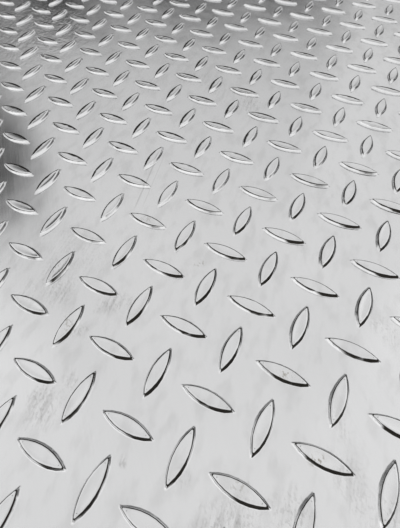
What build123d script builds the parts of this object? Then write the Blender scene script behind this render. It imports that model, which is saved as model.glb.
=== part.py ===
# Checker plate: one rolled steel sheet with lens-shaped lugs standing on its top face.
# The sheet lies flat. X runs across it, Y along the way it was rolled, and Z up.
# The origin is the middle of the flat underside. All sizes are in millimetres.

import os
from math import atan2, ceil, degrees

from build123d import *

# The sheet, cut to a stock size
sheet_width = 500.0
sheet_length = 1000.0
base_thickness = 3.0  # between the lugs

# One lug, with its plan measured where it meets the sheet
lug_length = 28.0
lug_width = 8.0
lug_height = 2.0
flank_run = 1.0  # how far each flank leans in, from foot to top

# The pattern: rows of like lugs cross the sheet, and every other row is shifted
# by half the spacing and leans the other way, so that a lug points at its neighbour's flank
lug_spacing = 38.6  # from lug to lug along a row
row_spacing = 20.25  # from row to row along the sheet

# Worked out from the sizes above
lug_lean = degrees(atan2(lug_spacing / 2, row_spacing))
flank_angle = degrees(atan2(flank_run, lug_height))
lug_bow = lug_width / 2
lug_arc_radius = ((lug_length / 2) ** 2 + lug_bow**2) / (2 * lug_bow)
lug_reach = lug_length / 2
bottom_up = (Align.CENTER, Align.CENTER, Align.MIN)


def build_lug():
    # A lens of two equal arcs, pointed along Y, drawn in to a smaller flat top
    with BuildPart() as lug:
        with BuildSketch():
            with BuildLine():
                near_tip = (0, -lug_length / 2)
                far_tip = (0, lug_length / 2)
                RadiusArc(near_tip, far_tip, -lug_arc_radius)
                RadiusArc(far_tip, near_tip, -lug_arc_radius)
            make_face()
        extrude(amount=lug_height, taper=flank_angle)
    return lug.part


def lug_places():
    # The places of the whole lugs, and of those that the edges of the sheet cut through
    whole_places = []
    cut_places = []
    last_row = ceil((sheet_length / 2 + lug_reach) / row_spacing)
    last_column = ceil((sheet_width / 2 + lug_reach) / lug_spacing)
    for row in range(-last_row, last_row + 1):
        shifted = row % 2
        lean = lug_lean if shifted else -lug_lean
        for column in range(-last_column, last_column + 1):
            x = (column + shifted / 2) * lug_spacing
            y = row * row_spacing
            past_side = abs(x) - sheet_width / 2
            past_end = abs(y) - sheet_length / 2
            place = Location((x, y, base_thickness), (0, 0, lean))
            if max(past_side, past_end) <= -lug_reach:
                whole_places.append(place)
            elif max(past_side, past_end) < lug_reach:
                cut_places.append(place)
    return whole_places, cut_places


def build_cut_lugs(lug, places):
    # The lugs along the edges, sheared off flush with the sheet
    with BuildPart() as cut_lugs:
        with Locations(*places):
            add(lug)
        with Locations((0, 0, base_thickness)):
            Box(sheet_width, sheet_length, lug_height, align=bottom_up, mode=Mode.INTERSECT)
    return cut_lugs.part


def build_checker_plate():
    lug = build_lug()
    whole_places, cut_places = lug_places()
    with BuildPart() as checker_plate:
        Box(sheet_width, sheet_length, base_thickness, align=bottom_up)
        add(build_cut_lugs(lug, cut_places))
        with Locations(*whole_places):
            add(lug)
    checker_plate.part.label = "checker_plate"
    return checker_plate.part


os.makedirs("parts", exist_ok=True)
export_step(build_checker_plate(), "parts/checker_plate.step")
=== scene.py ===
# A sheet of bright checker plate: the rolled sheet with its lugs, its steel, a soft studio and the camera.

from math import acos, cos, pi, radians, sin

import bmesh
import bpy
from mathutils import Matrix, Vector, noise
from mathutils.geometry import delaunay_2d_cdt


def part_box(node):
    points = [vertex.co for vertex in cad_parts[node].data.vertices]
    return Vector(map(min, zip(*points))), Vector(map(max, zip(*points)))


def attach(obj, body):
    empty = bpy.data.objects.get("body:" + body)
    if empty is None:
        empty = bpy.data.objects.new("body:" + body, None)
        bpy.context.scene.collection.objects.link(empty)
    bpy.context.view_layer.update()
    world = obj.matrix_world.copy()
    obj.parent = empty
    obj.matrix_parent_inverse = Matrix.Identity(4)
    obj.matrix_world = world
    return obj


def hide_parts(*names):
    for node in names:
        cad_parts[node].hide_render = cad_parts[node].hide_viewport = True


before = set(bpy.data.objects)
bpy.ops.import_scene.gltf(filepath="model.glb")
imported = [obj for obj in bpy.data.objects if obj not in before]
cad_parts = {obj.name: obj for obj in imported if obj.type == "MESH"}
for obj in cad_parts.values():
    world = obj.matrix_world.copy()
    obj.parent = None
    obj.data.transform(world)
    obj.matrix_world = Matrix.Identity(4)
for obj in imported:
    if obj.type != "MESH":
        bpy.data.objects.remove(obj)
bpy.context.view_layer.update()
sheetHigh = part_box("checker_plate")[1]
scene = bpy.context.scene
mm = 0.001

# The pattern, the same as in the part: rows of like lugs across the sheet, every other row shifted and turned
pattern = {
    "lugSpacing": 38.6 * mm,
    "rowSpacing": 20.25 * mm,
    "margin": 24 * mm,  # the pattern is laid out past the sheet's edges, and then trimmed
    "place": 0.10 * mm,  # how far a lug strays from its place, its lean and its length
    "turn": radians(0.5),
    "size": 0.012,
    "chance": (7.13, 1.9),  # where its share of each is read from the noise
    "chances": (3.7, 13.3, 23.1),
}

# One lug, from its foot to its top. Each step of its section: how far in from the foot, its height,
# the round of its tips, and the name of its row of dirt and painted shade
lug = {
    "length": 29.1 * mm,  # to the points that the rounds of the tips take off
    "width": 8.1 * mm,
    "sideSteps": 7,
    "tipSteps": 2,
    "section": [
        (-0.40 * mm, 0.0 * mm, 0.7 * mm, "foot"),
        (0.08 * mm, 0.20 * mm, 0.5 * mm, "fillet"),
        (0.54 * mm, 1.52 * mm, 0.4 * mm, "flank"),
        (0.76 * mm, 1.77 * mm, 0.4 * mm, "shoulder"),
        (1.20 * mm, 1.95 * mm, 0.4 * mm, "edge"),
        (1.66 * mm, 2.0 * mm, 0.4 * mm, "top"),
    ],
    "dish": 1.70 * mm,  # height of the middle of the top, which is a little hollow
}

# The dirt and painted shade round a lug, a row for each step of its section: on its far side in the near part
# of the sheet and in the far part, at its far corners in the far part, on its left and right, and on its near
# side in the far part and in the near part. After them comes where on the sheet, and on which sides of a lug,
# the rows fade into one another. The dark lines are partly dirt and partly painted shade and dark reflection,
# darker or lighter by where on the sheet and which way a side faces
dirtAndShade = {
    "foot": (0.0, 0.0, 0.0, 0.0, 0.0, 0.10),
    "fillet": (0.10, 0.15, 0.30, 0.05, 0.0, 0.85),
    "flank": (0.30, 0.60, 0.80, 0.70, 0.0, 1.0),
    "shoulder": (1.0, 1.0, 1.0, 1.0, 0.85, 1.0),
    "edge": (0.60, 0.95, 1.0, 0.30, 0.10, 0.30),
    "top": (0.0, 0.75, 1.25, 0.0, 0.0, 0.0),
    "farFacing": (-0.35, 0.05),  # from where to where a side counts as facing the far end
    "cornerFacing": (0.30, 0.80),
    "nearFacing": (0.66, 0.80),
    "earlyFacing": (0.32, 0.62),  # the same at the near end, where the darkening reaches further round
    "earlyPart": (-170 * mm, -120 * mm),
    "farPart": (-170 * mm, 30 * mm),
    "nearPart": (0 * mm, 170 * mm),  # how far towards the near end the near sides get darker
    "nearEnd": (190 * mm, 240 * mm),  # and from where on the left and far sides are lighter
    "farLess": 0.5,  # by this much on the far sides
    "leftPart": (150 * mm, 200 * mm),  # how far to the left the near sides are less dark
    "leftLess": 0.15,
    "rightPart": (-50 * mm, 80 * mm),
    "rightFacing": (-0.20, 0.30),
    "lighten": 0.85,  # how much lighter the right sides are in the far part, and all beside in its right part
    "tip": (0.70, 0.95),  # where the dark line grows thinner towards a lug's tips, and by what power
    "tipPower": 2,
    "patchy": 0.5,  # how uneven it is, with so many patches to the metre
    "patches": 400,
}

sheet = {
    "top": 3.0 * mm,
    "edgeBreak": 0.22 * mm,  # the sheared edges are dulled by this much
    "wave": 0.035 * mm,  # the sheet isn't quite flat, and dips by up to twice this
    "waveLength": 60 * mm,
    "sameSpot": 1e-6,  # points nearer than this are one point
    "onCut": 1e-7,  # and points nearer than this to a cut lie on it
    "sharp": radians(40),  # edges of the cut bent by more than this stay sharp
    "upright": 0.01,  # and only beside a face that rises by no more than this
    "side": 0.1,  # faces that rise by less than this are cut, and below the next they are the underside
    "down": -0.5,
}


def lugOutline(inset, tip):
    # Two long arcs joined by a small round at each tip, as points round the lug, each with the way it faces
    bow = lug["width"] / 2
    footRadius = ((lug["length"] / 2) ** 2 + bow**2) / (2 * bow)
    radius = footRadius - inset
    reach = acos((footRadius - bow) / (radius - tip))
    points = []
    for side in (1, -1):
        for step in range(lug["sideSteps"] + 1):
            angle = reach * (2 * step / lug["sideSteps"] - 1)
            x = radius * cos(angle) - (footRadius - bow)
            facing = Vector((side * cos(angle), side * sin(angle)))
            points.append((side * x, side * radius * sin(angle), facing))
        for step in range(1, lug["tipSteps"]):
            angle = reach + (pi - 2 * reach) * step / lug["tipSteps"]
            y = (radius - tip) * sin(reach) + tip * sin(angle)
            points.append((side * tip * cos(angle), side * y, Vector((side * cos(angle), side * sin(angle)))))
    return points


def lugPlaces():
    # Place, lean and number of every lug that the sheet shows, and of those just past its edges
    lean = Vector((pattern["rowSpacing"], pattern["lugSpacing"] / 2)).angle_signed(Vector((1, 0)))
    halfX = sheetHigh.x + pattern["margin"]
    halfY = sheetHigh.y + pattern["margin"]
    lastRow = int(halfY / pattern["rowSpacing"])
    lastColumn = int(halfX / pattern["lugSpacing"]) + 1
    places = []
    for row in range(-lastRow, lastRow + 1):
        shifted = row % 2
        for column in range(-lastColumn, lastColumn + 1):
            x = (column + shifted / 2) * pattern["lugSpacing"]
            y = row * pattern["rowSpacing"]
            if abs(x) < halfX and abs(y) < halfY:
                places.append((Vector((x, y)), abs(lean) if shifted else -abs(lean), len(places)))
    return places


def sheetWave(x, y):
    point = Vector((x, y, 0)) / sheet["waveLength"]
    return sheet["wave"] * (noise.noise(point) - 1)


def ease(value, low, high):
    share = min(max((value - low) / (high - low), 0), 1)
    return share * share * (3 - 2 * share)


def lugDirtAndShade(spot, facing, along, step):
    # How dark a point of a lug is painted, with dirt and painted shade, by its place, the way it faces, how
    # far along it is, and its step
    far, spread, corner, beside, nearSideFarPart, nearSideNearPart = dirtAndShade[step]
    farPart = ease(spot.y, *dirtAndShade["farPart"])
    rightPart = ease(spot.x, *dirtAndShade["rightPart"])
    rightFacing = ease(facing.x, *dirtAndShade["rightFacing"])
    spread += (corner - spread) * ease(abs(facing.x), *dirtAndShade["cornerFacing"])
    far += (spread - far) * farPart * (1 - dirtAndShade["lighten"] * rightPart * (1 - rightFacing))
    beside *= 1 - dirtAndShade["lighten"] * max(rightPart, rightFacing) * farPart
    nearEnd = ease(-spot.y, *dirtAndShade["nearEnd"])
    if step != "shoulder":
        far *= 1 - dirtAndShade["farLess"] * nearEnd
        beside *= 1 - dirtAndShade["lighten"] * (1 - rightFacing) * nearEnd
        nearSideNearPart *= 1 - dirtAndShade["leftLess"] * ease(-spot.x, *dirtAndShade["leftPart"])
    nearSideFarPart *= 1 - rightFacing
    near = nearSideFarPart + (nearSideNearPart - nearSideFarPart) * ease(-spot.y, *dirtAndShade["nearPart"])
    share = beside + (far - beside) * ease(facing.y, *dirtAndShade["farFacing"])
    nearFacing = ease(-facing.y, *dirtAndShade["nearFacing"])
    early = nearEnd * ease(spot.x, *dirtAndShade["earlyPart"]) * (1 - rightFacing)
    nearFacing += (ease(-facing.y, *dirtAndShade["earlyFacing"]) - nearFacing) * early
    share += (near - beside) * nearFacing
    share = share ** (1 + dirtAndShade["tipPower"] * ease(along, *dirtAndShade["tip"]))
    return share * (1 + dirtAndShade["patchy"] * noise.noise(Vector((spot.x, spot.y, 0)) * dirtAndShade["patches"]))


def lugSpot(x, y, rise, placing):
    # A point of one lug, moved to its place on the sheet
    turned, centre, scale = placing
    spot = turned @ Vector((x, y * scale)) + centre
    return spot.x, spot.y, sheet["top"] + rise + sheetWave(spot.x, spot.y)


def flatFaces(verts, footLoops):
    # The flat of the sheet between the lugs, as triangles from foot to foot
    count = len(footLoops[0])
    rim = len(verts) - 4
    loops = footLoops + [list(range(rim, rim + 4))]
    used = [index for loop in loops for index in loop]
    edges = []
    at = 0
    for loop in loops:
        size = len(loop)
        edges += [(at + step, at + (step + 1) % size) for step in range(size)]
        at += size
    lugFaces = [list(range(loop * count, (loop + 1) * count)) for loop in range(len(footLoops))]
    spots = [Vector(verts[index][:2]) for index in used]
    made = delaunay_2d_cdt(spots, edges, lugFaces, 1, sheet["onCut"])
    triangles, cameFrom, lugOf = made[2], made[3], made[5]
    flat = [triangle for triangle, owners in zip(triangles, lugOf) if not owners]
    return [[used[cameFrom[corner][0]] for corner in triangle] for triangle in flat]


def buildField():
    # The top of the sheet with every lug, as one open surface larger than the sheet
    verts, faces, grimeAndShade = [], [], []
    footLoops, rimLoops = [], []
    outlines = [lugOutline(inset, tip) for inset, rise, tip, step in lug["section"]]
    count = len(outlines[0])
    sideSteps = lug["sideSteps"]
    stride, level = pattern["chance"]
    for place, lean, number in lugPlaces():
        chance = Vector([noise.noise(Vector((number * stride, seed, level))) for seed in pattern["chances"]])
        turned = Matrix.Rotation(lean + pattern["turn"] * chance.z, 2)
        centre = place + Vector((chance.x, chance.y)) * pattern["place"]
        placing = (turned, centre, 1 + pattern["size"] * chance.x)
        start = len(verts)
        for outline, (inset, rise, tip, step) in zip(outlines, lug["section"]):
            for x, y, facing in outline:
                verts.append(lugSpot(x, y, rise, placing))
                spot = Vector(verts[-1][:2])
                # how dark the point is painted: partly dirt, partly painted shade and dark reflection
                grimeAndShade.append(lugDirtAndShade(spot, turned @ facing, abs(y) / lug["length"] * 2, step))
        footLoops.append(list(range(start, start + count)))
        for ring in range(len(outlines) - 1):
            for step in range(count):
                a = start + ring * count + step
                b = start + ring * count + (step + 1) % count
                faces.append((a, b, b + count, a + count))
        # The top: one line of points from tip to tip, joined to the inner ring on both sides
        inner = start + (len(outlines) - 1) * count
        left = inner + sideSteps + lug["tipSteps"]
        rimLoops.append(list(range(inner, inner + count)))
        spine = [inner]
        for step in range(1, sideSteps):
            y = outlines[-1][step][1]
            share = 1 - (y / lug["length"] * 2) ** 2
            rise = lug["section"][-1][1] * (1 - share) + lug["dish"] * share
            spine.append(len(verts))
            verts.append(lugSpot(0, y, rise, placing))
            grimeAndShade.append(0.0)
        spine.append(inner + sideSteps)
        for step in range(sideSteps):
            right = (inner + step, inner + step + 1, spine[step + 1], spine[step])
            faces.append(tuple(dict.fromkeys(right)))
            faces.append((left + sideSteps - step, spine[step], spine[step + 1], left + sideSteps - step - 1))
    halfX = sheetHigh.x + pattern["margin"] + lug["length"]
    halfY = sheetHigh.y + pattern["margin"] + lug["length"]
    for x, y in ((-halfX, -halfY), (halfX, -halfY), (halfX, halfY), (-halfX, halfY)):
        verts.append((x, y, sheet["top"]))
        grimeAndShade.append(0.0)
    faces += flatFaces(verts, footLoops)
    return verts, faces, grimeAndShade, footLoops + rimLoops


def trimField(verts, faces, grimeAndShade, creases):
    # Cut to the sheet's outline, then given its sheared sides and flat underside
    mesh = bpy.data.meshes.new("checkerPlate")
    mesh.from_pydata(verts, [], faces)
    # the mesh keeps each point's share of dirt and painted shade
    mesh.attributes.new("grimeAndShade", "FLOAT", "POINT").data.foreach_set("value", grimeAndShade)
    bm = bmesh.new()
    bm.from_mesh(mesh)
    bm.verts.ensure_lookup_table()
    for loop in creases:
        for start, end in zip(loop, loop[1:] + loop[:1]):
            bm.edges.get((bm.verts[start], bm.verts[end])).smooth = False
    bmesh.ops.remove_doubles(bm, verts=bm.verts, dist=sheet["sameSpot"])
    inset = sheet["edgeBreak"]
    for axis, side in ((0, 1), (0, -1), (1, 1), (1, -1)):
        spot, normal = Vector((0, 0, 0)), Vector((0, 0, 0))
        spot[axis] = side * (sheetHigh[axis] - inset)
        normal[axis] = side
        bmesh.ops.bisect_plane(
            bm, geom=bm.verts[:] + bm.edges[:] + bm.faces[:], dist=sheet["onCut"],
            plane_co=spot, plane_no=normal, clear_outer=True,
        )
    bmesh.ops.recalc_face_normals(bm, faces=bm.faces)
    border = [edge for edge in bm.edges if len(edge.link_faces) == 1]
    # Each step of the cut: the dulled upper edge, the wall and the dulled lower edge
    for step in ("shoulder", "wall", "heel"):
        grown = bmesh.ops.extrude_edge_only(bm, edges=border)["geom"]
        border = [part for part in grown if isinstance(part, bmesh.types.BMEdge)]
        for vert in {vert for edge in border for vert in edge.verts}:
            if step == "shoulder":
                for axis in (0, 1):
                    if abs(vert.co[axis]) > sheetHigh[axis] - 1.5 * inset:
                        vert.co[axis] = sheetHigh[axis] if vert.co[axis] > 0 else -sheetHigh[axis]
                vert.co.z -= inset
            elif step == "wall":
                vert.co.z = inset
            else:
                for axis in (0, 1):
                    if abs(vert.co[axis]) > sheetHigh[axis] - 0.5 * inset:
                        vert.co[axis] -= inset if vert.co[axis] > 0 else -inset
                vert.co.z = 0
    bmesh.ops.edgeloop_fill(bm, edges=border)
    bmesh.ops.recalc_face_normals(bm, faces=bm.faces)
    for face in bm.faces:
        face.smooth = True
        rise = face.normal.z
        face.material_index = 2 if rise < sheet["down"] else 1 if rise < sheet["side"] else 0
    for edge in bm.edges:
        least = min(face.normal.z for face in edge.link_faces)
        if edge.calc_face_angle(0) > sheet["sharp"] and least < sheet["upright"]:
            edge.smooth = False
    bm.to_mesh(mesh)
    print("open edges", sum(1 for edge in bm.edges if len(edge.link_faces) != 2))
    bm.free()
    return mesh


print("rolling the sheet")
plateMesh = trimField(*buildField())
plate = bpy.data.objects.new("checkerPlate", plateMesh)
scene.collection.objects.link(plate)
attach(plate, "root")
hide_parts("checker_plate")
plateMesh.calc_loop_triangles()
print("triangles", len(plateMesh.loop_triangles))


def addNode(tree, kind, settings=None, **inputs):
    # A node with its settings, and its inputs by name or, as i0 and i1, by number
    node = tree.nodes.new(kind)
    for name, value in (settings or {}).items():
        setattr(node, name, value)
    for name, value in inputs.items():
        socket = node.inputs[int(name[1:])] if name[0] == "i" and name[1:].isdigit() else node.inputs[name]
        if isinstance(value, bpy.types.NodeSocket):
            tree.links.new(value, socket)
        else:
            socket.default_value = value
    return node


# The steel. Places and sizes of the marks are in millimetres on the sheet
steel = {
    "darkColour": (0.725, 0.727, 0.732, 1),
    "lightColour": (0.765, 0.766, 0.77, 1),
    # near black of the dirt and painted shade and dark reflection along the lugs' feet, flanks and shoulders
    "grimeAndShadeColour": (0.025, 0.023, 0.020, 1),
    "smudgeColour": (0.30, 0.295, 0.29, 1),
    "stainColour": (0.30, 0.28, 0.24, 1),
    "grimeAndShade": (0.38, 0.80),  # the dirt and painted shade at which the steel starts to darken, and at which it is black
    "smudges": {"grain": 0.015, "haze": 0.15, "rub": 0.6},  # how much each of them smudges the colour
    "stain": 0.8,
    "rubMarks": (0.7, 0.45),  # a rub's share of streaks and of specks
    "faint": 0.35,  # the strength of the rubs that lie all over
    "flank": (3.1 * mm, 3.3 * mm, 4.65 * mm, 4.85 * mm),  # the heights that no rub reaches
    "roughness": 0.14,
    "rougher": {"blotch": 0.03, "grain": 0.02, "rub": 0.10, "grimeAndShade": 0.15},  # how far each of them shifts it
    # the strength and height of each bump
    "bump": {"waves": (1.0, 0.45 * mm), "dents": (1.0, 0.30 * mm), "grain": (1.0, 0.004 * mm)},
    "wipeAngle": 34,  # in degrees
    "loose": (90.0, 2.0, 0.012),  # swirls that loosen the rubs' outlines: how many, their detail, and how far
    "soft": (1.25, 0.25),  # a mark fades in between these shares of its half sizes
    "scratchSoft": (0.2, 0.6),  # the shares of a scratch's half width and half length at full strength
    # rubbed marks along the sheet: middle, half width, half length, strength
    "rubs": [
        ((-196, -130), 12, 22, 0.8), ((-212, -133), 7, 12, 0.5), ((-168, -156), 12, 7, 0.8),
        ((-187, -168), 5, 6, 0.8), ((-196, -192), 5, 6, 0.7), ((-211, -201), 10, 13, 1.0),
        ((-177, -237), 3, 4, 0.9), ((-155, -253), 6, 5, 0.5), ((-146, -274), 18, 12, 1.0),
        ((-118, -277), 10, 10, 0.9), ((-90, -277), 8, 16, 0.6), ((-82, -253), 7, 12, 0.4),
        ((-36, -218), 7, 10, 0.6), ((-83, -291), 10, 9, 0.9), ((-80, -36), 6, 12, 0.6),
        ((-22, 2), 12, 14, 0.8), ((-38, 34), 9, 14, 0.5), ((-192, 222), 46, 60, 1.0),
    ],
    # where the shine is broken up in fine dents: middle, half width, half length, strength
    "dented": [((-185, 215), 60, 95, 1.0)],
    # brownish stains on the tops of some lugs: middle, half width, half length, strength
    "stains": [
        ((-95, -224), 5, 3, 0.9), ((-99, -263), 4, 3, 1.0), ((-134, -262), 5, 3, 0.5),
        ((-114, -145), 5, 3, 0.5), ((-193, -122), 4, 8, 0.6), ((-193, -162), 3, 8, 0.6),
        ((-135, -101), 7, 4, 0.4), ((-19, 20), 4, 8, 0.5),
    ],
    # long scratches: from, to, half width, strength
    "scratches": [
        ((-143, -91), (-109, -33), 0.9, 0.30), ((-138, -92), (-103, -32), 0.5, 0.15),
        ((60, -340), (96, -190), 0.5, 0.30), ((150, 220), (138, 380), 0.4, 0.30),
        ((-60, 330), (-20, 450), 0.5, 0.25),
    ],
}

# The clouds that the marks are made of: swirls to the metre along each axis, detail, and a start of their own
clouds = {
    "grain": ((1500, 45, 1500), 2.0, 0.0),
    "blotch": ((11, 7, 11), 3.0, 4.0),
    "streak": ((520, 75, 1), 4.0, 2.0),
    "speck": ((900, 500, 1), 2.0, 9.0),
    "faint": ((16, 12, 1), 3.0, 7.0),
    "haze": ((130, 60, 1), 5.0, 3.0),
    "dents": ((330, 150, 1), 3.0, 11.0),
    "waves": ((22, 15, 1), 2.0, 5.0),
    "drag": ((700, 700, 60), 3.0, 0.0),
    "ragged": ((240, 240, 1), 2.0, 3.0),
    "underBlotch": ((14, 6, 14), 4.0, 1.0),
    "underStreak": ((260, 8, 1), 3.0, 6.0),
}
# Each cloud's start, as shares of it along the three axes
cloudStart = (1, 1.7, 0.3)
# How strong a cloud is where its mark starts to show, and where it shows in full
fades = {
    "grain": (0.3, 0.7),
    "grainTint": (0.35, 0.65),
    "blotch": (0.3, 0.7),
    "streak": (0.40, 0.74),
    "speck": (0.50, 0.66),
    "faint": (0.55, 0.75),
    "haze": (0.45, 0.7),
    "drag": (0.5, 0.75),
    "ragged": (0.3, 0.7),
    "underStreak": (0.5, 0.72),
}


def startMaterial(name):
    # A metal with nothing set yet, and the place on the sheet that its clouds and marks are laid by
    material = bpy.data.materials.new(name)
    material.use_nodes = True
    tree = material.node_tree
    tree.nodes.clear()
    out = tree.nodes.new("ShaderNodeOutputMaterial")
    shader = tree.nodes.new("ShaderNodeBsdfPrincipled")
    tree.links.new(shader.outputs["BSDF"], out.inputs["Surface"])
    shader.inputs["Metallic"].default_value = 1.0
    place = addNode(tree, "ShaderNodeTexCoord").outputs["Object"]
    return material, tree, shader, place


def vectorMath(tree, operation, first, second, result=0):
    node = addNode(tree, "ShaderNodeVectorMath", {"operation": operation}, i0=first, i1=second)
    return node.outputs[result]


def maths(tree, operation, first, second):
    return addNode(tree, "ShaderNodeMath", {"operation": operation}, i0=first, i1=second).outputs[0]


def remap(tree, value, low, high, bottom=0.0, top=1.0):
    node = addNode(tree, "ShaderNodeMapRange", {"interpolation_type": "SMOOTHSTEP"}, i0=value)
    for name, number in (("From Min", low), ("From Max", high), ("To Min", bottom), ("To Max", top)):
        node.inputs[name].default_value = number
    return node.outputs["Result"]


def cloud(tree, place, name):
    stretch, detail, seed = clouds[name]
    moved = vectorMath(tree, "MULTIPLY", place, stretch)
    moved = vectorMath(tree, "ADD", moved, [seed * share for share in cloudStart])
    return addNode(tree, "ShaderNodeTexNoise", None, Vector=moved, Scale=1.0, Detail=detail).outputs[0]


def fade(tree, value, name, bottom=0.0, top=1.0):
    return remap(tree, value, *fades[name], bottom, top)


def tint(tree, share, below, above):
    # one colour laid over another
    mix = addNode(tree, "ShaderNodeMix", {"data_type": "RGBA"}, i0=share)
    for socket, colour in ((mix.inputs[6], below), (mix.inputs[7], above)):
        if isinstance(colour, bpy.types.NodeSocket):
            tree.links.new(colour, socket)
        else:
            socket.default_value = colour
    return mix.outputs[2]


def slanted(tree, place, angle):
    # the same place, seen along the way the sheet has been wiped
    return addNode(
        tree, "ShaderNodeVectorRotate", {"rotation_type": "Z_AXIS"}, Vector=place, Angle=radians(angle)
    ).outputs[0]


def heightOf(tree, place):
    return addNode(tree, "ShaderNodeSeparateXYZ", None, Vector=place).outputs["Z"]


def spots(tree, place, marks):
    # soft-edged ovals, each at its own strength
    total = None
    for (x, y), halfWidth, halfLength, strength in marks:
        stretch = (1000 / halfWidth, 1000 / halfLength, 0)
        offset = vectorMath(tree, "SUBTRACT", place, (x * mm, y * mm, 0))
        offset = vectorMath(tree, "MULTIPLY", offset, stretch)
        distance = vectorMath(tree, "LENGTH", offset, (0, 0, 0), "Value")
        mask = remap(tree, distance, *steel["soft"], 0.0, strength)
        total = mask if total is None else maths(tree, "MAXIMUM", total, mask)
    return total


def scratches(tree, place, marks):
    # straight lines that fade out towards both ends
    core, full = steel["scratchSoft"]
    total = None
    for start, end, width, strength in marks:
        start, end, width = Vector(start) * mm, Vector(end) * mm, width * mm
        along = (end - start).normalized()
        half = (end - start).length / 2
        offset = vectorMath(tree, "SUBTRACT", place, ((start + end) / 2).to_3d())
        across = vectorMath(tree, "DOT_PRODUCT", offset, (-along.y, along.x, 0), "Value")
        run = vectorMath(tree, "DOT_PRODUCT", offset, (along.x, along.y, 0), "Value")
        thin = remap(tree, maths(tree, "ABSOLUTE", across, 0.0), width, core * width)
        ends = remap(tree, maths(tree, "ABSOLUTE", run, 0.0), half, full * half, 0.0, strength)
        mask = maths(tree, "MULTIPLY", thin, ends)
        total = mask if total is None else maths(tree, "MAXIMUM", total, mask)
    return total


def bumped(tree, heights):
    # One bump over another: each cloud with its strength and its height in metres
    normal = None
    for height, strength, distance in heights:
        bump = addNode(tree, "ShaderNodeBump", None, Height=height, Strength=strength, Distance=distance)
        if normal:
            tree.links.new(normal, bump.inputs["Normal"])
        normal = bump.outputs[0]
    return normal


def steelMaterial():
    material, tree, shader, place = startMaterial("brightRolledSteel")
    swirls, detail, reach = steel["loose"]
    swirl = addNode(tree, "ShaderNodeTexNoise", None, Vector=place, Scale=swirls, Detail=detail)
    swirl = vectorMath(tree, "SUBTRACT", swirl.outputs["Color"], (0.5, 0.5, 0.5))
    loose = vectorMath(tree, "ADD", place, vectorMath(tree, "MULTIPLY", swirl, (reach, reach, 0)))
    wiped = slanted(tree, place, steel["wipeAngle"])
    grain = cloud(tree, place, "grain")
    blotch = cloud(tree, place, "blotch")
    haze = cloud(tree, wiped, "haze")
    streak = fade(tree, cloud(tree, wiped, "streak"), "streak")
    speck = fade(tree, cloud(tree, place, "speck"), "speck")

    # where the sheet is rubbed: the clear marks, and faint ones all over, on the flats and tops alone
    faint = fade(tree, cloud(tree, loose, "faint"), "faint", 0.0, steel["faint"])
    rubbed = maths(tree, "MAXIMUM", spots(tree, loose, steel["rubs"]), faint)
    height = heightOf(tree, place)
    low, full, ending, end = steel["flank"]
    flank = maths(tree, "MULTIPLY", remap(tree, height, low, full), remap(tree, height, end, ending))
    streaks = maths(tree, "MULTIPLY", streak, steel["rubMarks"][0])
    specks = maths(tree, "MULTIPLY", speck, steel["rubMarks"][1])
    mark = maths(tree, "SUBTRACT", maths(tree, "ADD", streaks, specks), flank)
    rub = maths(tree, "MAXIMUM", maths(tree, "MULTIPLY", rubbed, mark), 0.0)
    stain = maths(tree, "MULTIPLY", spots(tree, place, steel["stains"]), speck)
    grimeAndShade = addNode(tree, "ShaderNodeAttribute", {"attribute_name": "grimeAndShade"}).outputs["Fac"]
    grimeAndShade = remap(tree, grimeAndShade, *steel["grimeAndShade"])

    smudges, smudge = steel["smudges"], steel["smudgeColour"]
    colour = tint(tree, fade(tree, blotch, "blotch"), steel["darkColour"], steel["lightColour"])
    colour = tint(tree, fade(tree, grain, "grainTint", 0.0, smudges["grain"]), colour, smudge)
    colour = tint(tree, fade(tree, haze, "haze", 0.0, smudges["haze"]), colour, smudge)
    colour = tint(tree, maths(tree, "MULTIPLY", rub, smudges["rub"]), colour, smudge)
    colour = tint(tree, maths(tree, "MULTIPLY", stain, steel["stain"]), colour, steel["stainColour"])
    colour = tint(tree, scratches(tree, place, steel["scratches"]), colour, smudge)
    # the dark lines round the lugs: partly dirt, partly painted shade and dark reflection
    colour = tint(tree, grimeAndShade, colour, steel["grimeAndShadeColour"])
    tree.links.new(colour, shader.inputs["Base Color"])

    rougher, rough = steel["rougher"], steel["roughness"]
    rough = fade(tree, blotch, "blotch", rough - rougher["blotch"], rough + rougher["blotch"])
    rough = maths(tree, "ADD", rough, fade(tree, grain, "grain", -rougher["grain"], rougher["grain"]))
    rough = maths(tree, "ADD", rough, maths(tree, "MULTIPLY", rub, rougher["rub"]))
    rough = maths(tree, "ADD", rough, maths(tree, "MULTIPLY", grimeAndShade, rougher["grimeAndShade"]))
    tree.links.new(rough, shader.inputs["Roughness"])

    # slow waves of the rolled sheet, its dents, and its fine grain along the rolling
    waves = cloud(tree, place, "waves")
    dents = maths(tree, "MULTIPLY", cloud(tree, loose, "dents"), spots(tree, place, steel["dented"]))
    heights = {"waves": waves, "dents": dents, "grain": grain}
    bumps = [(heights[name], *bump) for name, bump in steel["bump"].items()]
    tree.links.new(bumped(tree, bumps), shader.inputs["Normal"])
    return material


# The sheared sides: a bright band cut above a dull torn one
edge = {
    "cutColour": (0.74, 0.742, 0.748, 1),
    "tornColour": (0.52, 0.52, 0.53, 1),
    "tear": (1.9 * mm, 1.6 * mm, 0.4 * mm),  # height at which it starts and is full, and how ragged it is
    "dragged": 0.5,
    "roughness": (0.28, 0.5),
    "bump": (0.6, 0.04 * mm),
}


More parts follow.
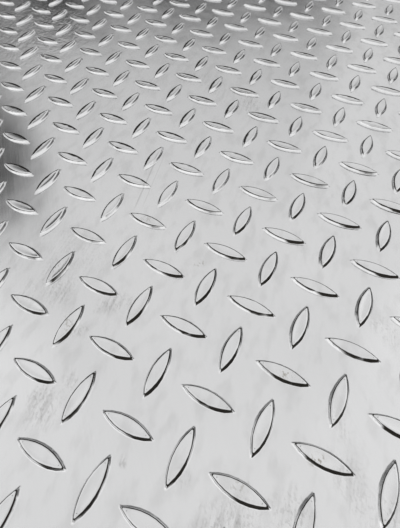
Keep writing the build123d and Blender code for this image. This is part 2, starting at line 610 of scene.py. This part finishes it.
def edgeMaterial():
    material, tree, shader, place = startMaterial("shearedEdge")
    drag = cloud(tree, place, "drag")
    start, full, uneven = edge["tear"]
    ragged = fade(tree, cloud(tree, place, "ragged"), "ragged", -uneven, uneven)
    torn = remap(tree, maths(tree, "ADD", heightOf(tree, place), ragged), start, full)
    colour = tint(tree, torn, edge["cutColour"], edge["tornColour"])
    colour = tint(tree, fade(tree, drag, "drag", 0.0, edge["dragged"]), colour, steel["smudgeColour"])
    tree.links.new(colour, shader.inputs["Base Color"])
    tree.links.new(remap(tree, torn, 0.0, 1.0, *edge["roughness"]), shader.inputs["Roughness"])
    tree.links.new(bumped(tree, [(drag, *edge["bump"])]), shader.inputs["Normal"])
    return material


# The flat back: duller, with rubbed streaks along the rolling
underside = {
    "darkColour": (0.42, 0.42, 0.43, 1),
    "lightColour": (0.55, 0.55, 0.56, 1),
    "rubbedColour": (0.66, 0.66, 0.67, 1),
    "rubbed": 0.45,
    "roughness": (0.38, 0.5),
    "bump": (0.5, 0.02 * mm),
}


def undersideMaterial():
    material, tree, shader, place = startMaterial("dullUnderside")
    blotch = cloud(tree, place, "underBlotch")
    streak = cloud(tree, place, "underStreak")
    rubbed = fade(tree, streak, "underStreak", 0.0, underside["rubbed"])
    colour = tint(tree, fade(tree, blotch, "blotch"), underside["darkColour"], underside["lightColour"])
    colour = tint(tree, rubbed, colour, underside["rubbedColour"])
    tree.links.new(colour, shader.inputs["Base Color"])
    tree.links.new(fade(tree, blotch, "blotch", *underside["roughness"]), shader.inputs["Roughness"])
    tree.links.new(bumped(tree, [(streak, *underside["bump"])]), shader.inputs["Normal"])
    return material


print("finishing the steel")
for material in (steelMaterial(), edgeMaterial(), undersideMaterial()):
    plateMesh.materials.append(material)


# The studio: a soft light all round and a pale floor. Each side has its own brightness at steps of height,
# from 0 at the level of the sheet to 1 overhead. It lies towards some angle, full within the inner and
# gone past the outer number of degrees from there, and over the sides that come before it
light = {
    "around": {
        "glow": [(0, 0.06), (0.2, 0.2), (0.4, 0.35), (0.5, 0.7), (0.6, 1.0), (0.75, 1.05), (1, 0.89)],
    },
    "right": {
        "towards": 300, "inner": 46, "outer": 56,
        "glow": [(0, 0.3), (0.06, 0.6), (0.12, 1.05), (0.5, 1.1), (0.75, 1.0), (1, 0.89)],
    },
    "farLeft": {
        "towards": 142, "inner": 20, "outer": 34,
        "glow": [(0, 0.4), (0.1, 0.8), (0.3, 1.0), (0.75, 1.0), (1, 0.89)],
    },
    "far": {
        "towards": 75, "inner": 32, "outer": 50,
        "glow": [
            (0, 0.4), (0.2, 0.4), (0.27, 0.1), (0.325, 0.17), (0.365, 0.46), (0.42, 0.64), (0.55, 0.77),
            (0.72, 0.83), (1, 0.89),
        ],
    },
    "farRight": {
        "towards": 44, "inner": 6, "outer": 14,
        "glow": [(0, 0.25), (0.2, 0.5), (0.3, 0.74), (0.37, 0.79), (0.5, 0.86), (0.7, 0.88), (1, 0.88)],
    },
    "left": {
        "towards": 208, "inner": 38, "outer": 50,
        "glow": [(0, 0.3), (0.06, 0.7), (0.12, 1.3), (0.45, 1.3), (0.6, 1.1), (0.75, 1.0), (1, 0.89)],
    },
}
# Far off and low down the studio is uneven, and at two places dark, the lower one of them in spots
shade = {
    "colour": (0.02, 0.02, 0.02, 1),
    "scale": 11.0,
    "fade": (0.45, 0.62),
    "strength": 0.5,
    "height": (0.46, 0.34),  # it starts below the first height, and is full at the second
    # the way to each dark place, how tightly it is drawn in along each axis, its strength, and its spots
    "places": [
        ((-0.235, 0.80, 0.53), (6.5, 1, 5.5), 0.92, None),
        ((0.02, 0.935, 0.338), (9.0, 1, 22.0), 0.95, 24.0),
    ],
    "soft": (1.0, 0.3),
    "spots": (0.40, 0.55),
}
backdropColour = (0.76, 0.76, 0.76, 1)
belowColour = (0.7, 0.7, 0.7, 1)
horizon = (0.0, -0.02)  # the light of the floor comes in between these heights


def glowRamp(tree, height, stops):
    # the brightness at each height. A ramp's colours end at 1, so they are halved in it and then added twice
    ramp = addNode(tree, "ShaderNodeValToRGB", None, Fac=height)
    marks = ramp.color_ramp.elements
    while len(marks) < len(stops):
        marks.new(0.5)
    for mark, (at, value) in zip(marks, stops):
        mark.position = at
        mark.color = (value / 2, value / 2, value / 2, 1)
    return vectorMath(tree, "ADD", ramp.outputs["Color"], ramp.outputs["Color"])


def skyCloud(tree, way, scale):
    return addNode(tree, "ShaderNodeTexNoise", None, Vector=way, Scale=scale, Detail=4.0).outputs[0]


def studioLight(tree):
    way = addNode(tree, "ShaderNodeTexCoord").outputs["Generated"]
    height = heightOf(tree, way)
    level = vectorMath(tree, "NORMALIZE", vectorMath(tree, "MULTIPLY", way, (1, 1, 0)), (0, 0, 0))
    total = glowRamp(tree, height, light["around"]["glow"])
    for side in light.values():
        if "towards" in side:
            turn = radians(side["towards"])
            near = vectorMath(tree, "DOT_PRODUCT", level, (cos(turn), sin(turn), 0), "Value")
            share = remap(tree, near, cos(radians(side["outer"])), cos(radians(side["inner"])))
            total = tint(tree, share, total, glowRamp(tree, height, side["glow"]))
    blotch = remap(tree, skyCloud(tree, way, shade["scale"]), *shade["fade"], 0.0, shade["strength"])
    uneven = maths(tree, "MULTIPLY", blotch, remap(tree, height, *shade["height"]))
    total = tint(tree, uneven, total, shade["colour"])
    for centre, stretch, strength, spotScale in shade["places"]:
        offset = vectorMath(tree, "MULTIPLY", vectorMath(tree, "SUBTRACT", way, centre), stretch)
        distance = vectorMath(tree, "LENGTH", offset, (0, 0, 0), "Value")
        share = remap(tree, distance, *shade["soft"], 0.0, strength)
        if spotScale:
            spotty = remap(tree, skyCloud(tree, way, spotScale), *shade["spots"])
            share = maths(tree, "MULTIPLY", share, spotty)
        total = tint(tree, share, total, shade["colour"])
    return tint(tree, remap(tree, height, *horizon), total, belowColour)


# The floor, pale and dull. From below and right under the sheet it is clear, and doesn't hide the underside
ground = {
    "size": 60,
    "drop": 0.1 * mm,  # so that the floor and the underside don't lie in one plane
    "clearWithin": 5,  # light that has gone less than so many drops passes through it
    "colour": (0.8, 0.8, 0.8, 1),
    "roughness": 0.8,
}


def floorMaterial():
    material = bpy.data.materials.new("paleFloor")
    material.use_nodes = True
    tree = material.node_tree
    tree.nodes.clear()
    paint = addNode(tree, "ShaderNodeBsdfPrincipled", None, Roughness=ground["roughness"])
    paint.inputs["Base Color"].default_value = ground["colour"]
    clear = addNode(tree, "ShaderNodeBsdfTransparent")
    fromBelow = addNode(tree, "ShaderNodeNewGeometry").outputs["Backfacing"]
    gone = addNode(tree, "ShaderNodeLightPath").outputs["Ray Length"]
    underSheet = maths(tree, "LESS_THAN", gone, ground["clearWithin"] * ground["drop"])
    away = maths(tree, "MAXIMUM", fromBelow, underSheet)
    mixed = addNode(tree, "ShaderNodeMixShader", None, i0=away, i1=paint.outputs[0], i2=clear.outputs[0])
    out = tree.nodes.new("ShaderNodeOutputMaterial")
    tree.links.new(mixed.outputs[0], out.inputs["Surface"])
    return material


def buildStudio():
    world = bpy.data.worlds.new("softStudio")
    scene.world = world
    world.use_nodes = True
    tree = world.node_tree
    tree.nodes.clear()
    out = tree.nodes.new("ShaderNodeOutputWorld")
    ray = addNode(tree, "ShaderNodeLightPath").outputs
    seen = maths(tree, "MAXIMUM", ray["Is Camera Ray"], ray["Is Transmission Ray"])
    shown = tint(tree, seen, studioLight(tree), backdropColour)
    background = addNode(tree, "ShaderNodeBackground", None, Color=shown)
    tree.links.new(background.outputs[0], out.inputs["Surface"])
    bpy.ops.mesh.primitive_plane_add(size=ground["size"], location=(0, 0, -ground["drop"]))
    floor = bpy.context.object
    floor.name = "floor"
    floor.data.materials.append(floorMaterial())


print("lighting the studio")
buildStudio()
scene.view_settings.view_transform = "Standard"


# The camera, at the photograph's angle
camera = {
    "place": (-0.1537, -0.2833, 0.1923),
    "forward": (0.1708, 0.5733, -0.8014),
    "right": (0.9499, -0.3118, -0.0206),
    "picture": (400, 528),
    "focal": 400.3,  # in the picture's pixels
    "middle": (202, 267),  # the pixel that it points at
    "clip": (0.01, 20),
}


def placeCamera():
    data = bpy.data.cameras.new("camera")
    eye = bpy.data.objects.new("camera", data)
    scene.collection.objects.link(eye)
    forward = Vector(camera["forward"]).normalized()
    right = Vector(camera["right"]).normalized()
    turned = Matrix((right, right.cross(forward), -forward)).transposed().to_4x4()
    eye.matrix_world = Matrix.Translation(camera["place"]) @ turned
    wide, high = camera["picture"]
    data.lens = camera["focal"] / high * data.sensor_width
    data.shift_x = (wide / 2 - camera["middle"][0]) / high
    data.shift_y = (camera["middle"][1] - high / 2) / high
    data.clip_start, data.clip_end = camera["clip"]
    scene.camera = eye


print("placing the camera")
placeCamera()
